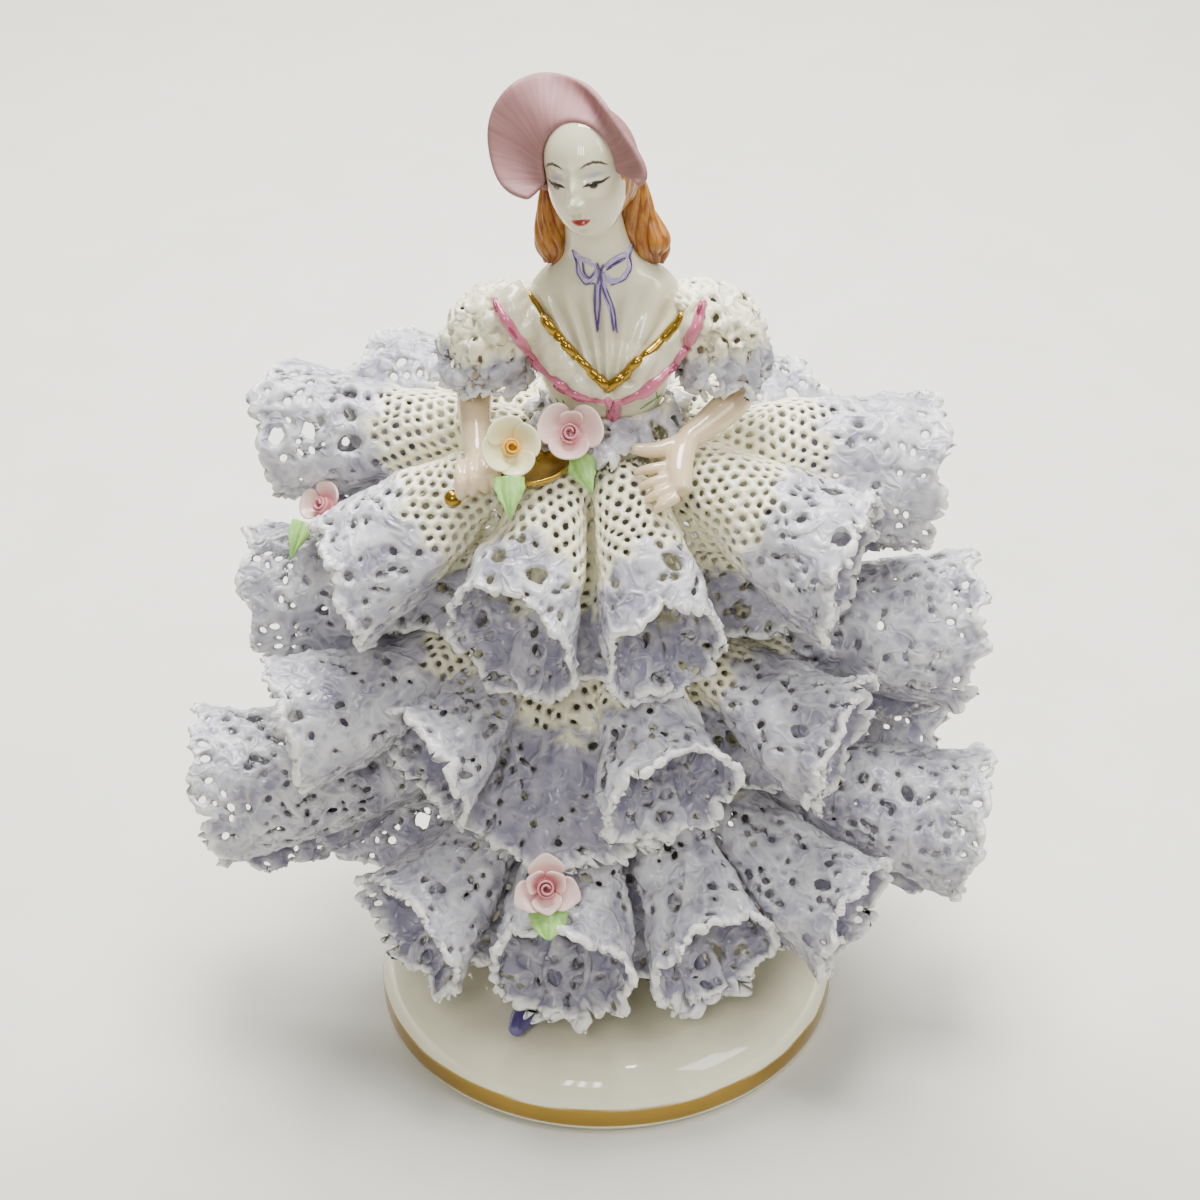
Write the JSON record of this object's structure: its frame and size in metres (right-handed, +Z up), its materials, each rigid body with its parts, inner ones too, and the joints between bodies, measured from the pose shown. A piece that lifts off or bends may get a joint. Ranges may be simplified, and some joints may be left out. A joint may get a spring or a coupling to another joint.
{
  "type": "porcelain lace lady figurine",
  "caption": "Porcelain lady in a bonnet on a round gilt-banded base, in a crinoline of rolled lace flounces with modelled roses.",
  "frame": {"origin": "centre of the base's flat underside", "axes": "+Z up, towards the head; the lady looks along -Y; her left hand is on +X"},
  "size_m": [0.1108, 0.0719, 0.14],
  "materials": {
    "glaze": "clear glossy glaze over ivory-white porcelain, painted in places",
    "lavender_lace": "fired slip-soaked lace, cream net shading to a lavender border, satin glaze",
    "cream_lace": "fired slip-soaked lace, cream with a lavender edge, satin glaze",
    "pink_petal": "hand-modelled petals, pale pink glaze deepening towards the heart",
    "yellow_petal": "hand-modelled petals, pale yellow-white glaze with an orange heart",
    "leaf_green": "hand-modelled leaf, light green glaze",
    "gilding": "fired gilding, brown-gold and glossy"
  },
  "bodies": {
    "root": {"base": "glaze", "figure": "glaze", "flounce_top": "lavender_lace", "flounce_middle": "lavender_lace", "flounce_bottom": "lavender_lace", "waist_frill": "lavender_lace", "sleeve_left": "cream_lace", "sleeve_right": "cream_lace", "basket": "gilding", "rose_yellow": "yellow_petal", "rose_pink": "pink_petal", "rose_front": "pink_petal", "rose_side": "pink_petal", "leaf_yellow": "leaf_green", "leaf_pink": "leaf_green", "leaf_front": "leaf_green", "leaf_side": "leaf_green"}
  },
  "joints": []
}
